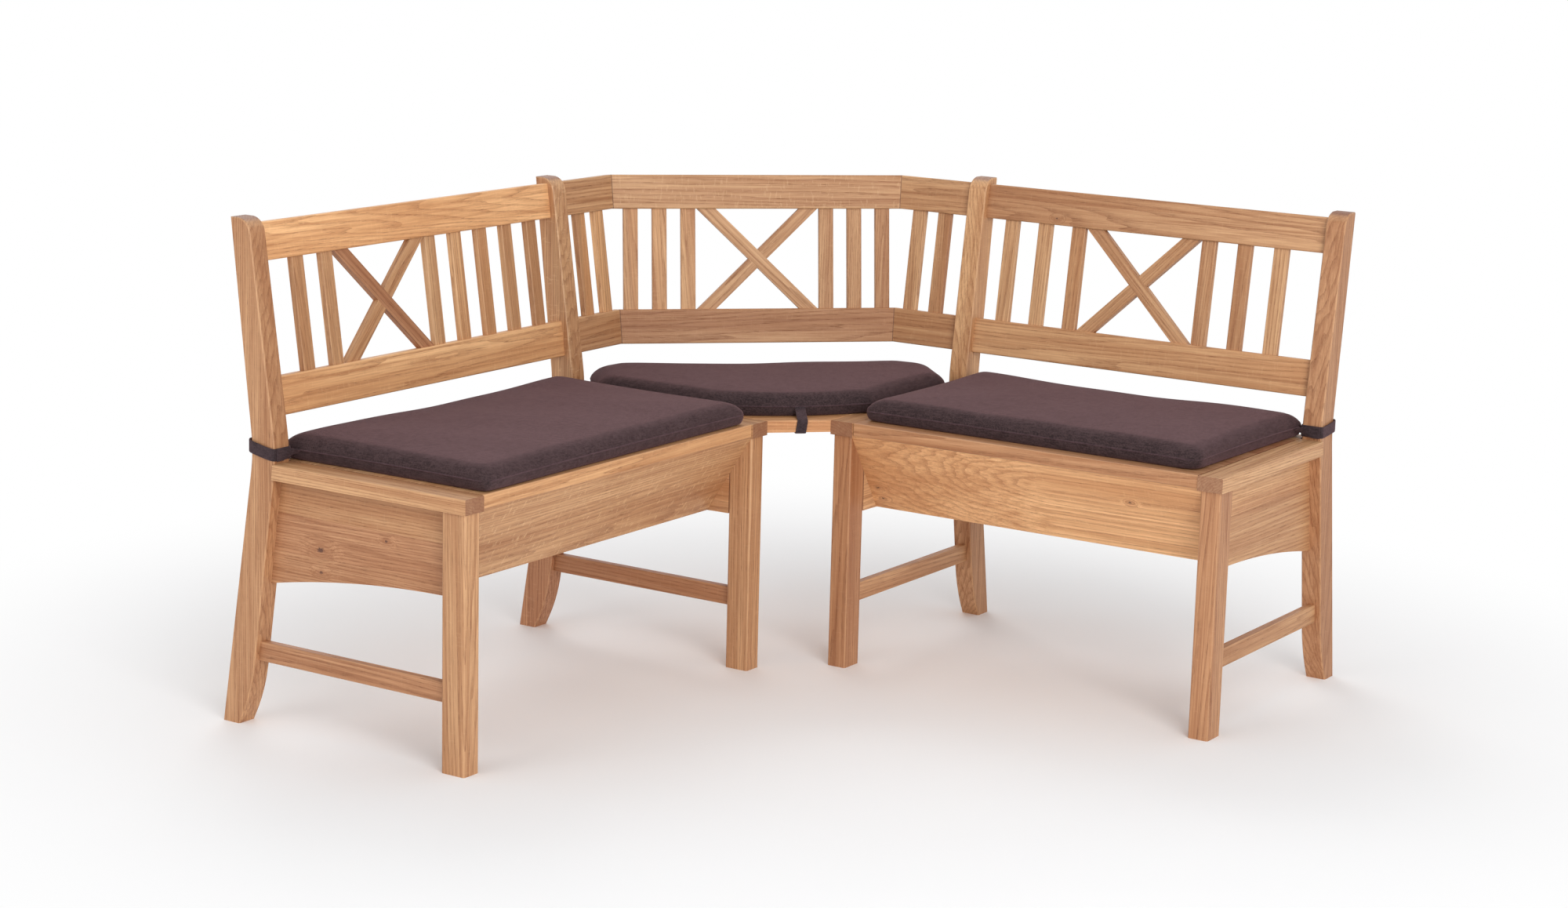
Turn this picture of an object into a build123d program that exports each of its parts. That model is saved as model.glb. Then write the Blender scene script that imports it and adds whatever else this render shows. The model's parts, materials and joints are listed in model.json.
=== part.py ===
"""Corner bench in oak: two chest benches with hinged seats, a corner unit hung between them, three seat cushions.

The benches stand at a right angle along two walls. Each bench is built in its own frame: s runs along the
bench from its corner end, d runs forward from the wall, z is up. The right bench lies along X. The left bench
is built the same way and mirrored across the corner's diagonal.
"""
from build123d import *
import math
import os

# Main sizes, in millimetres
seat_height = 462.0            # floor to the top of the wooden seat
post_height = 867.0            # floor to the top of the rear posts
bench_depth = 530.0            # rear of the foot to the front of the front legs
corner_reach = 622.0           # wall to the corner end of the other wall's bench
back_lean = 8.1                # lean of the back, and of the rear leg below the knee, in degrees

# Legs and rear posts
leg_width = 38.0
leg_depth = 48.0
leg_round = 4.0
knee_above_seat = 15.0         # where the rear post bends
knee_front = 125.0             # front of the post at the knee, from the rear of its foot
knee_depth = 51.0
knee_round = 260.0
post_top_depth = 40.0
post_top_round = 28.0
foot_depth = 37.0
foot_bend_height = 58.0
foot_round = 300.0
post_chamfer = 2.0
stretcher_chamfer = 1.5
edge_round = 2.5

# Seat frame and chest
seat_rail_thickness = 26.0
seat_rail_overhang = 4.5       # past the leg on both sides and in front
panel_thickness = 16.0
panel_front_height = 290.0     # underside of the end panel and of the chest at the front
panel_rear_height = 247.0
stretcher_height = 34.0
stretcher_thickness = 16.0
stretcher_underside = 115.0
chest_front_thickness = 16.0
chest_front_setback = 94.0     # how far the bottom of the sloping front lies behind its top
chest_floor_thickness = 10.0
chest_floor_lift = 2.0         # floor above the lower edge of the chest front
chest_back_thickness = 12.0
chest_back_rear = 104.0        # wall side of the chest back
hinge_rail_rear = 86.0
lid_thickness = 24.0
lid_front_overhang = 2.0
lid_side_gap = 1.0
lid_rear_gap = 1.0

# Backs
back_setback = 13.0            # rails behind the front of the posts
back_rail_thickness = 22.0
lower_rail_height = 66.0
lower_rail_above_knee = 60.0
top_rail_height = 65.0
top_rail_drop = 10.0           # top of the post to the top rail, along the lean
slat_width = 28.0
slat_thickness = 12.0
slat_gap = 44.0
slat_housing = 8.0             # depth of the slat's seat in each rail
slat_chamfer = 1.0
slat_margin_corner = 40.0      # from the corner post to the first slat
slat_margin_outer = 74.0
cross_bay = 242.0              # clear width between the slats beside the cross
cross_width = 25.0
cross_end_inset = 22.0         # bay edge to the cross bar's middle, at the rails
right_corner_side_slats = 3
right_outer_side_slats = 3
left_corner_side_slats = 5
left_outer_side_slats = 2

# Corner unit
corner_back_distance = 422.0   # wall corner to the diagonal back, at knee height
corner_bay = 244.0
corner_slats = 3
corner_slat_gap = 28.0
wing_slats = 2
wing_slat_gap = 29.0
wing_slat_margin = 44.0
corner_seat_thickness = 22.0
corner_seat_rear = 72.0        # rear edges of the corner seat, from each wall
corner_seat_rear_width = 500.0
cleat_length = 280.0
cleat_front_setback = 80.0
cleat_thickness = 12.0
cleat_seat_width = 36.0        # bearing under the corner seat
cleat_rail_width = 24.0        # bearing under the seat rail

# Butt hinges
hinge_line = 138.0             # hinge pin from the wall
hinge_length = 60.0
hinge_end_distance = 130.0     # end of the lid to the middle of a hinge
leaf_width = 18.0
leaf_thickness = 1.5
knuckle_radius = 3.5
knuckle_clearance = 0.5
pin_radius = 1.6
pin_clearance = 0.08
middle_knuckle = 22.0
knuckle_end_gap = 0.3

# Cushions and their straps
cushion_thickness = 42.0
cushion_lift = 0.3
cushion_rear = 142.0
cushion_front_inset = 8.0      # behind the front of the seat rails
cushion_corner_end = 42.0
cushion_outer_inset = 50.0
cushion_corner_round = 20.0
cushion_draw_in = 3.0
corner_cushion_side = 30.0     # overlap past the corner end of each bench
corner_cushion_front = 440.0
corner_cushion_bulge = 17.0
corner_cushion_post_gap = 165.0
corner_cushion_rear = 88.0
corner_cushion_rear_end = 505.0
corner_cushion_clip = 65.0     # clipped stretch along the wall at each rear end
strap_thickness = 2.0
strap_width = 22.0
strap_clearance = 0.4
strap_lift = 4.5
strap_tail_height = 14.0
corner_strap_under = 32.0

lean = math.radians(back_lean)
knee_height = seat_height + knee_above_seat
lid_underside = seat_height - lid_thickness
rail_underside = seat_height - seat_rail_thickness
rail_front = knee_front - back_setback
top_rail_top = (post_height - knee_height) / math.cos(lean) - top_rail_drop
top_rail_foot = top_rail_top - top_rail_height
lower_rail_top = lower_rail_above_knee + lower_rail_height
slat_front = -(back_rail_thickness - slat_thickness) / 2
slat_rear = slat_front - slat_thickness


def group_length(count, gap):
    """Length of a row of slats."""
    return count * slat_width + (count - 1) * gap


def bench_length(slats):
    """Outside length of a bench whose back holds the given slats."""
    rows = group_length(slats[0], slat_gap) + group_length(slats[1], slat_gap)
    return 2 * leg_width + slat_margin_corner + rows + cross_bay + slat_margin_outer


def block(s, d, z):
    """Box between pairs of limits along the bench, from the wall and above the floor."""
    middle = (corner_reach + sum(s) / 2, -sum(d) / 2, sum(z) / 2)
    return Pos(*middle) * Box(s[1] - s[0], d[1] - d[0], z[1] - z[0])


def along_bench(face, s):
    """Extrudes a side profile, drawn in (d, z), along the bench between two limits."""
    side = Plane(origin=(corner_reach + s[1], 0, 0), x_dir=(0, -1, 0), z_dir=(-1, 0, 0))
    return extrude(side * face, amount=s[1] - s[0], dir=(-1, 0, 0))


def polygon(points):
    """Face inside a closed run of straight lines."""
    return make_face(Polyline(*points, close=True))


def round_corner(face, point, radius):
    """Rounds the corner of a flat face that lies at the given point."""
    return fillet(face.vertices().sort_by_distance(Vector(*point))[0], radius)


def board(plane, a, v, n):
    """Box on a leaning plane: along it, up it, and out from it."""
    middle = Pos(sum(a) / 2, sum(v) / 2, sum(n) / 2)
    return plane.location * middle * Box(a[1] - a[0], v[1] - v[0], n[1] - n[0])


def eased(shape, axis, radius):
    """Rounds the long edges that run along an axis."""
    return fillet(shape.edges().filter_by(axis), radius)


def post_profile():
    """Side view of a rear post: swept foot, knee at the seat, leaning top with a rounded front corner."""
    foot_bend = knee_front - (knee_height - foot_bend_height) * math.tan(lean)
    top_front = knee_front - (post_height - knee_height) * math.tan(lean)
    bends = [
        ((foot_bend, foot_bend_height), foot_round),
        ((knee_front, knee_height), knee_round),
        ((top_front, post_height), post_top_round),
        ((knee_front - knee_depth, knee_height), knee_round),
    ]
    face = polygon([
        (0, 0),
        (foot_depth, 0),
        bends[0][0],
        bends[1][0],
        bends[2][0],
        (top_front - post_top_depth, post_height),
        bends[3][0],
    ])
    for point, radius in bends:
        face = round_corner(face, point, radius)
    return face


def post(s):
    """Rear post: all edges eased by a chamfer, foot left square on the floor."""
    solid = along_bench(post_profile(), s)
    rims = [edge for face in solid.faces().filter_by(Axis.X) for edge in face.edges()]
    return chamfer([edge for edge in rims if (edge @ 0.5).Z > 1], post_chamfer)


def front_leg(s):
    leg = block(s, (bench_depth - leg_depth, bench_depth), (0, rail_underside))
    return eased(leg, Axis.Z, leg_round)


def seat_rail(s):
    """Side rail of the seat: it lies on the front leg and butts against the rear post."""
    ends = (s[0] - seat_rail_overhang, s[1] + seat_rail_overhang)
    front = bench_depth + seat_rail_overhang
    rail = block(ends, (knee_front - knee_depth / 2, front), (rail_underside, seat_height))
    rail = rail - along_bench(post_profile(), (s[0] - leg_width, s[1] + leg_width))
    upper = rail.edges().filter_by(Axis.Y).group_by(Axis.Z)[-1]
    return fillet(upper, edge_round)


def end_panel(s):
    """Panel under a seat rail, its lower edge an arc that runs level into the front leg."""
    front = bench_depth - leg_depth
    rear = knee_front - knee_depth
    drop = panel_front_height - panel_rear_height
    radius = ((front - rear) ** 2 + drop ** 2) / (2 * drop)
    half_turn = math.asin((front - rear) / radius) / 2
    middle = (front - radius * math.sin(half_turn), panel_front_height - radius * (1 - math.cos(half_turn)))
    outline = [
        ThreePointArc((rear, panel_rear_height), middle, (front, panel_front_height)),
        Polyline(
            (front, panel_front_height),
            (front, rail_underside),
            (rear, rail_underside),
            (rear, panel_rear_height),
        ),
    ]
    return along_bench(make_face(outline), s) - along_bench(post_profile(), (s[0] - 1, s[1] + 1))


def stretcher(s):
    height = (stretcher_underside, stretcher_underside + stretcher_height)
    bar = block(s, (foot_depth, bench_depth - leg_depth), height)
    bar = bar - along_bench(post_profile(), (s[0] - 1, s[1] + 1))
    return chamfer(bar.edges().filter_by(Axis.Y), stretcher_chamfer)


def inside_width(s, inset, thickness):
    """Limits of a board that stands a little in from the outer face of a leg at s."""
    outer_is_low = s[0] < leg_width
    start = s[0] + inset if outer_is_low else s[1] - inset - thickness
    return (start, start + thickness)


def slat_row(plane, start, count, gap):
    """Upright slats, housed in the rails above and below."""
    height = (lower_rail_top - slat_housing, top_rail_foot + slat_housing)
    starts = [start + index * (slat_width + gap) for index in range(count)]
    return [board(plane, (a, a + slat_width), height, (slat_rear, slat_front)) for a in starts]


def softened(slats):
    """Chamfers the long edges of slats once their housings are cut."""
    return [chamfer(slat.edges().sort_by(SortBy.LENGTH)[-4:], slat_chamfer) for slat in slats]


def cross(plane, middle, bay, falling_in_front=True):
    """Two diagonal bars halved into each other, one falling and one rising along the plane."""
    rise = (top_rail_foot - lower_rail_top) / 2
    centre = Pos(middle, lower_rail_top + rise, (slat_front + slat_rear) / 2)
    slope = math.degrees(math.atan2(rise, bay / 2 - cross_end_inset))
    bar = Box(2 * bay, cross_width, slat_thickness)
    limits = ((middle - bay / 2, middle + bay / 2), (lower_rail_top, top_rail_foot))
    clip = board(plane, *limits, (slat_rear, slat_front))
    falling = clip & (plane.location * centre * Rot(0, 0, -slope) * bar)
    rising = clip & (plane.location * centre * Rot(0, 0, slope) * bar)
    lap = falling & rising
    half = (slat_front + slat_rear) / 2
    front_half = lap & board(plane, *limits, (half, slat_front))
    rear_half = lap & board(plane, *limits, (slat_rear, half))
    if falling_in_front:
        return [falling - rear_half, rising - front_half]
    return [rising - rear_half, falling - front_half]


def back_rail(plane, a, v):
    rail = board(plane, a, v, (-back_rail_thickness, 0))
    long_edges = rail.edges().sort_by(SortBy.LENGTH)[-4:]
    return fillet(long_edges, edge_round)


def chest_slope(z, inner):
    """Depth of the sloping chest front at a height, on its outer or inner face."""
    height = lid_underside - panel_front_height
    outer = bench_depth - chest_front_setback * (lid_underside - z) / height
    run = chest_front_thickness * math.hypot(1, chest_front_setback / height)
    return outer - run if inner else outer


def chest(length):
    """Sloping front, floor and back of the storage chest between the end panels."""
    s = (leg_width, length - leg_width)
    front = polygon([
        (chest_slope(panel_front_height, True), panel_front_height),
        (chest_slope(panel_front_height, False), panel_front_height),
        (chest_slope(lid_underside, False), lid_underside),
        (chest_slope(lid_underside, True), lid_underside),
    ])
    floor_under = panel_front_height + chest_floor_lift
    floor_top = floor_under + chest_floor_thickness
    back_front = chest_back_rear + chest_back_thickness
    floor = polygon([
        (back_front, floor_under),
        (chest_slope(floor_under, True), floor_under),
        (chest_slope(floor_top, True), floor_top),
        (back_front, floor_top),
    ])
    return {
        "chest_front": along_bench(front, s),
        "chest_floor": along_bench(floor, s),
        "chest_back": block(s, (chest_back_rear, back_front), (panel_front_height, lid_underside)),
    }


def cylinder_along(s, radius):
    """Cylinder round the hinge line."""
    turned = Pos(corner_reach + sum(s) / 2, -hinge_line, seat_height) * Rot(0, 90, 0)
    return turned * Cylinder(radius, s[1] - s[0])


def hinge(s_middle):
    """Fixed leaf with its riveted pin, and lid leaf, of a butt hinge let into the edges of rail and lid."""
    s = (s_middle - hinge_length / 2, s_middle + hinge_length / 2)
    middle = (s_middle - middle_knuckle / 2, s_middle + middle_knuckle / 2)
    outer = [(s[0], middle[0] - knuckle_end_gap), (middle[1] + knuckle_end_gap, s[1])]
    height = (seat_height - leaf_width, seat_height)
    half_gap = lid_rear_gap / 2
    bore = cylinder_along(s, pin_radius + pin_clearance)
    middle_room = cylinder_along((middle[0] - knuckle_end_gap, middle[1] + knuckle_end_gap),
                                 knuckle_radius + knuckle_clearance)
    fixed = block(s, (hinge_line - half_gap - leaf_thickness, hinge_line - half_gap), height) - middle_room
    for part in outer:
        fixed = fixed + cylinder_along(part, knuckle_radius)
    fixed = fixed + cylinder_along(s, pin_radius)
    moving = block(s, (hinge_line + half_gap, hinge_line + half_gap + leaf_thickness), height)
    for part in outer:
        room = (part[0] - knuckle_end_gap, part[1] + knuckle_end_gap)
        moving = moving - cylinder_along(room, knuckle_radius + knuckle_clearance)
    moving = moving + cylinder_along(middle, knuckle_radius)
    return fixed, moving - bore


def seat(length):
    """Hinge rail at the rear, the lid that lies flush with the side rails, and the hinges between them."""
    inside = (leg_width + seat_rail_overhang, length - leg_width - seat_rail_overhang)
    lid_ends = (inside[0] + lid_side_gap, inside[1] - lid_side_gap)
    half_gap = lid_rear_gap / 2
    z = (lid_underside, seat_height)
    rail = block(inside, (hinge_rail_rear, hinge_line - half_gap), z)
    lid = block(lid_ends, (hinge_line + half_gap, bench_depth + lid_front_overhang), z)
    front_edges = lid.edges().filter_by(Axis.X).group_by(Axis.Y)[0]
    lid = fillet(front_edges, edge_round)
    fixed, moving = [], []
    for s_middle in (lid_ends[0] + hinge_end_distance, lid_ends[1] - hinge_end_distance):
        s = (s_middle - hinge_length / 2, s_middle + hinge_length / 2)
        leaf_fixed, leaf_moving = hinge(s_middle)
        leaf_height = (seat_height - leaf_width, seat_height)
        depth_fixed = (hinge_line - half_gap - leaf_thickness, hinge_line - half_gap)
        depth_moving = (hinge_line + half_gap, hinge_line + half_gap + leaf_thickness)
        room = cylinder_along(s, knuckle_radius + knuckle_clearance)
        rail = rail - room - block(s, depth_fixed, leaf_height)
        lid = lid - room - block(s, depth_moving, leaf_height)
        fixed.append(leaf_fixed)
        moving.append(leaf_moving)
    return rail, lid, fixed, moving


def padded_section(corners, bulges, inset, z):
    """Level slice of a cushion: sides are shallow arcs between rounded corners."""
    xs = [x for x, _ in corners]
    ys = [y for _, y in corners]
    mid = ((min(xs) + max(xs)) / 2, (min(ys) + max(ys)) / 2)
    shrink = (1 - 2 * inset / (max(xs) - min(xs)), 1 - 2 * inset / (max(ys) - min(ys)))
    points = [(mid[0] + (x - mid[0]) * shrink[0], mid[1] + (y - mid[1]) * shrink[1]) for x, y in corners]
    sides = []
    for index, bulge in enumerate(bulges):
        start, end = points[index], points[(index + 1) % len(points)]
        sides.append(SagittaArc(start, end, bulge))
    face = make_face(sides)
    rounded = fillet(face.vertices(), cushion_corner_round * min(shrink))
    return Pos(0, 0, z) * rounded


def cushion(corners, bulges):
    """Crowned pad lofted through level slices, widest at its seam a third of the way up."""
    slices = [(0, 0.18), (0.15, 0.05), (0.36, 0), (0.66, 0.065), (0.9, 0.4), (1, 2.2)]
    bottom = seat_height + cushion_lift
    faces = []
    for height, inset in slices:
        z = bottom + height * cushion_thickness
        faces.append(padded_section(corners, bulges, inset * cushion_thickness, z))
    return loft(faces, ruled=True)


def bench_cushion(length):
    """Seat cushion of a bench: it lies on the lid, between the side rails of the seat."""
    left = corner_reach + cushion_corner_end
    right = corner_reach + length - cushion_outer_inset
    rear = -cushion_rear
    front = -(bench_depth + seat_rail_overhang - cushion_front_inset)
    corners = [
        (left, front),
        (right, front),
        (right, rear),
        (left, rear),
    ]
    return cushion(corners, [cushion_draw_in] * 4)


def bench_strap(length):
    """Flat band round the outer rear post, with a short end from its inner corner towards the cushion's corner.

    The end stops behind the hinge line and beside the cushion, so that lid and cushion swing clear of it.
    """
    z = (seat_height + strap_lift, seat_height + strap_lift + strap_width)
    inner = along_bench(post_profile(), (length - leg_width, length))
    inner = inner & block((length - leg_width, length), (0, bench_depth), z)
    box = inner.bounding_box()
    near = strap_clearance
    far = strap_clearance + strap_thickness
    hole = block((length - leg_width - near, length + near), (-box.max.Y - near, -box.min.Y + near), z)
    band = block((length - leg_width - far, length + far), (-box.max.Y - far, -box.min.Y + far), z)
    band = eased(band, Axis.Z, far) - eased(hole, Axis.Z, near)
    start = Vector(corner_reach + length - leg_width, box.min.Y)
    end = Vector(corner_reach + length - cushion_outer_inset + far, -hinge_line + far)
    ahead = (end - start).normalized()
    start = start + ahead * (near + strap_thickness / 2)
    side = Vector(-ahead.Y, ahead.X) * (strap_thickness / 2)
    plan = polygon([start + side, end + side, end - side, start - side])
    foot = (sum(z) - strap_tail_height) / 2
    tail = extrude(Pos(0, 0, foot) * plan, amount=strap_tail_height, dir=(0, 0, 1))
    return band + tail


def bench(slats, falling_in_front):
    """All pieces of one bench, as the right one stands."""
    length = bench_length(slats)
    corner_leg = (0, leg_width)
    outer_leg = (length - leg_width, length)
    back = Plane(
        origin=(corner_reach, -rail_front, knee_height),
        x_dir=(1, 0, 0),
        z_dir=(0, -math.cos(lean), math.sin(lean)),
    )
    pieces = {}
    for place, s in (("outer", outer_leg), ("corner", corner_leg)):
        pieces[place + "_rear_post"] = post(s)
        pieces[place + "_front_leg"] = front_leg(s)
        pieces[place + "_seat_rail"] = seat_rail(s)
        pieces[place + "_end_panel"] = end_panel(inside_width(s, leg_width - panel_thickness, panel_thickness))
    pieces["stretchers"] = [
        stretcher(inside_width(s, (leg_width - stretcher_thickness) / 2, stretcher_thickness))
        for s in (outer_leg, corner_leg)
    ]
    corner_start = leg_width + slat_margin_corner
    bay_start = corner_start + group_length(slats[0], slat_gap)
    corner_row = slat_row(back, corner_start, slats[0], slat_gap)
    outer_row = slat_row(back, bay_start + cross_bay, slats[1], slat_gap)
    between = (leg_width, length - leg_width)
    lower = back_rail(back, between, (lower_rail_above_knee, lower_rail_top))
    upper = back_rail(back, between, (top_rail_foot, top_rail_top))
    pieces["lower_back_rail"] = lower - corner_row - outer_row
    pieces["top_back_rail"] = upper - corner_row - outer_row
    pieces["corner_side_slats"] = softened(corner_row)
    pieces["outer_side_slats"] = softened(outer_row)
    pieces["back_cross"] = cross(back, bay_start + cross_bay / 2, cross_bay, falling_in_front)
    pieces.update(chest(length))
    pieces["chest_front"] = pieces["chest_front"] - [pieces["outer_seat_rail"], pieces["corner_seat_rail"]]
    rail, lid, fixed, moving = seat(length)
    pieces["hinge_rail"] = rail
    pieces["lid"] = lid
    pieces["hinge_lid_leaves"] = moving
    pieces["hinge_fixed_leaves"] = fixed
    pieces["cushion"] = bench_cushion(length)
    pieces["cushion_strap"] = bench_strap(length)
    return pieces


def swap_sides(shape):
    """Mirrors a piece across the vertical plane through the corner's diagonal."""
    return mirror(shape, about=Plane(origin=(0, 0, 0), z_dir=(1, 1, 0)))


def corner_back():
    """Three-part back of the corner: a wing beside each bench and a diagonal centre, mitred together."""
    wing = Plane(
        origin=(corner_reach, -rail_front, knee_height),
        x_dir=(1, 0, 0),
        z_dir=(0, -math.cos(lean), math.sin(lean)),
    )
    out = corner_back_distance / math.sqrt(2)
    flat = math.cos(lean) / math.sqrt(2)
    centre = Plane(origin=(out, -out, knee_height), x_dir=(1, 1, 0), z_dir=(flat, -flat, math.sin(lean)))
    joint = math.sqrt(2) * corner_back_distance - rail_front
    turn = math.radians(22.5)
    mitre = Plane(origin=(joint, -rail_front, 0), z_dir=(math.cos(turn), math.sin(turn), 0))
    wing_length = corner_reach - rail_front
    wing_start = -wing_slat_margin - group_length(wing_slats, wing_slat_gap)
    wing_row = slat_row(wing, wing_start, wing_slats, wing_slat_gap)
    first = corner_bay / 2
    centre_row = slat_row(centre, first, corner_slats, corner_slat_gap)
    right_row = centre_row + wing_row
    left_row = [swap_sides(slat) for slat in right_row]
    pieces = {
        "corner_right_slats": softened(right_row),
        "corner_left_slats": softened(left_row),
        "corner_back_cross": cross(centre, 0, corner_bay),
    }
    heights = {
        "lower": (lower_rail_above_knee, lower_rail_top),
        "top": (top_rail_foot, top_rail_top),
    }
    for name, v in heights.items():
        side = split(back_rail(wing, (-wing_length, 0), v), bisect_by=mitre, keep=Keep.TOP)
        middle = back_rail(centre, (-corner_back_distance, corner_back_distance), v)
        middle = split(middle, bisect_by=mitre, keep=Keep.BOTTOM)
        middle = swap_sides(split(swap_sides(middle), bisect_by=mitre, keep=Keep.BOTTOM))
        pieces["corner_" + name + "_right_rail"] = side - wing_row
        pieces["corner_" + name + "_left_rail"] = swap_sides(side - wing_row)
        pieces["corner_" + name + "_centre_rail"] = middle - right_row - left_row
    return pieces


def corner_seat():
    """Seat board between the corner rails, the rabbeted cleats that carry it, its cushion and strap."""
    side = corner_reach - seat_rail_overhang
    front = bench_depth + seat_rail_overhang
    under = seat_height - corner_seat_thickness
    outline = [
        (side, -corner_seat_rear),
        (side, -front),
        (front, -side),
        (corner_seat_rear, -side),
        (corner_seat_rear, -corner_seat_rear_width),
        (corner_seat_rear_width, -corner_seat_rear),
    ]
    seat_board = Pos(0, 0, under) * extrude(polygon(outline), amount=corner_seat_thickness)
    seat_board = fillet(seat_board.faces().sort_by(Axis.Z)[-1].edges(), edge_round)

    s_rail = -seat_rail_overhang
    cleat_front = front - cleat_front_setback
    d = (cleat_front - cleat_length, cleat_front)
    foot = rail_underside - cleat_thickness
    cleat = block((s_rail - cleat_seat_width, s_rail + cleat_rail_width), d, (foot, rail_underside))
    cleat = cleat + block((s_rail - cleat_seat_width, s_rail), d, (rail_underside, under))

    edge = corner_reach + corner_cushion_side
    half = [
        (edge, -corner_cushion_front),
        (edge, -corner_cushion_post_gap),
        (corner_cushion_rear_end + corner_cushion_clip, -corner_cushion_rear),
        (corner_cushion_rear_end, -corner_cushion_rear),
    ]
    other_half = [(-y, -x) for x, y in reversed(half)]
    bulges = [cushion_draw_in, 0.5, 0.5, cushion_draw_in, 0.5, 0.5, cushion_draw_in, -corner_cushion_bulge]
    return {
        "corner_seat_board": seat_board,
        "corner_right_cleat": cleat,
        "corner_left_cleat": swap_sides(cleat),
        "corner_cushion": cushion(half + other_half, bulges),
        "corner_cushion_strap": corner_strap(side, front, under),
    }


def corner_strap(side, front, under):
    """Flat band from the front of the corner cushion, over the seat's front edge and under it."""
    edge = (side + front) / math.sqrt(2)
    off = strap_clearance + strap_thickness / 2
    diagonal = Plane(origin=(0, 0, 0), x_dir=(1, -1, 0), z_dir=(-1, -1, 0))
    seam = seat_height + cushion_lift + cushion_thickness / 3
    cushion_edge = (corner_reach + corner_cushion_side + corner_cushion_front) / math.sqrt(2) + corner_cushion_bulge
    path = FilletPolyline(
        (cushion_edge + off, seam),
        (cushion_edge + 2 * off, seat_height + off),
        (edge + off, seat_height + off),
        (edge + off, under - off),
        (edge - corner_strap_under, under - off),
        radius=strap_thickness,
    )
    band = diagonal * trace(path, strap_thickness)
    return extrude(band, amount=strap_width / 2, both=True)


def placed(shape):
    """Moves a piece from the wall corner's frame to the middle of the floor area."""
    wide = corner_reach + bench_length(right_slats) + seat_rail_overhang
    deep = corner_reach + bench_length(left_slats) + seat_rail_overhang
    return Pos(-wide / 2, deep / 2, 0) * shape


right_slats = (right_corner_side_slats, right_outer_side_slats)
left_slats = (left_corner_side_slats, left_outer_side_slats)
right = bench(right_slats, True)
left = bench(left_slats, False)
parts = {}
for name in right:
    mirrored = left[name]
    mirrored = [swap_sides(one) for one in mirrored] if isinstance(mirrored, list) else swap_sides(mirrored)
    if name == "hinge_fixed_leaves":
        parts[name] = right[name] + mirrored
    else:
        parts["right_" + name] = right[name]
        parts["left_" + name] = mirrored
parts.update(corner_back())
parts.update(corner_seat())

os.makedirs("parts", exist_ok=True)
for name, piece in parts.items():
    solids = piece if isinstance(piece, list) else [piece]
    solids = [placed(one) for one in solids]
    body = solids[0] if len(solids) == 1 else Compound(children=solids)
    export_step(body, "parts/" + name + ".step")
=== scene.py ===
"""Looks of the oak corner bench.

Every board has its own grained oak, the cushions are foam in woven cloth with a sewn seam, the straps are
flat bands, and the hinges are satin steel.
"""
import json
import math

import bmesh
import bpy
import numpy as np
from mathutils import Matrix, Vector
from mathutils.bvhtree import BVHTree


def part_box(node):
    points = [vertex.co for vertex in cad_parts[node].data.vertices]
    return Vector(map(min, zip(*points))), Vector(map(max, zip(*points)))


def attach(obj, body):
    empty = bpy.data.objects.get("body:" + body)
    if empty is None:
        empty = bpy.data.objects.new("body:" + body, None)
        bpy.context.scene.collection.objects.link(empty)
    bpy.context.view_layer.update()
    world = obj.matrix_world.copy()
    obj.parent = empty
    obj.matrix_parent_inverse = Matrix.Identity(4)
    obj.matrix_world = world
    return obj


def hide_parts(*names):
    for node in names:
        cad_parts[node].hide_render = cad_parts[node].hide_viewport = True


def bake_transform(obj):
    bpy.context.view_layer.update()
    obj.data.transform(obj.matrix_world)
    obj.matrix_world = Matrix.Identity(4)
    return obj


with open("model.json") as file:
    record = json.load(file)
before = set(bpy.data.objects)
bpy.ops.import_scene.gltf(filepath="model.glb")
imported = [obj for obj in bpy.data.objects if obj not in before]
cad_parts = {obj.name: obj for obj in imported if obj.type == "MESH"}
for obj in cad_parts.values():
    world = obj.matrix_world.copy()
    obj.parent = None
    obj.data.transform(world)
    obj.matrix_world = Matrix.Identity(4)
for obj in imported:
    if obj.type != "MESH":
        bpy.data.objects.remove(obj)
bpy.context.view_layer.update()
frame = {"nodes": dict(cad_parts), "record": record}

MM = 0.001
UP = Vector((0, 0, 1))
BACK_LEAN = math.radians(8.1)

# Camera of the photograph, fitted to corners of the bench
CAMERA_PLACE = (2.8456, -4.4033, 1.5293)
CAMERA_RIGHT = (0.83236, 0.55367, 0.02515)
CAMERA_DOWN = (0.13308, -0.15559, -0.97882)
CAMERA_FORWARD = (-0.53803, 0.81807, -0.20319)
CAMERA_LENS = 70.14


def colour(red, green, blue):
    """Linear colour from the 0 to 255 values of a screen."""
    share = np.array((red, green, blue)) / 255
    linear = np.where(share <= 0.04045, share / 12.92, ((share + 0.055) / 1.055) ** 2.4)
    return (*linear.tolist(), 1.0)


class Bench:
    """Directions and limits of one bench: s runs along it from the corner, d forward from the wall."""

    def __init__(self, side, along, forward):
        self.side = side
        self.along = Vector(along)
        self.forward = Vector(forward)
        self.lid = side + "_lid"
        low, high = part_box(side + "_corner_rear_post")
        self.origin = np.array((low.x, high.y, 0.0))
        self.axes = np.array((along, forward, (0, 0, 1)), float)
        low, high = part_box(side + "_outer_rear_post")
        self.length = abs(self.place(np.array(high if side == "right" else low))[0])
        self.back = (self.forward * math.cos(BACK_LEAN) + UP * math.sin(BACK_LEAN)).normalized()
        self.lean = (UP * math.cos(BACK_LEAN) - self.forward * math.sin(BACK_LEAN)).normalized()

    def place(self, world):
        """Bench coordinates s, d, z of points in the room."""
        return (np.asarray(world) - self.origin) @ self.axes.T

    def world(self, s, d, z):
        """Room coordinates of points given along the bench, from the wall and above the floor."""
        s, d, z = np.broadcast_arrays(*(np.asarray(value, float) for value in (s, d, z)))
        return self.origin + np.stack((s, d, z), -1) @ self.axes


BENCHES = {
    "left": Bench("left", (0, -1, 0), (1, 0, 0)),
    "right": Bench("right", (1, 0, 0), (0, -1, 0)),
}


# Materials

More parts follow.
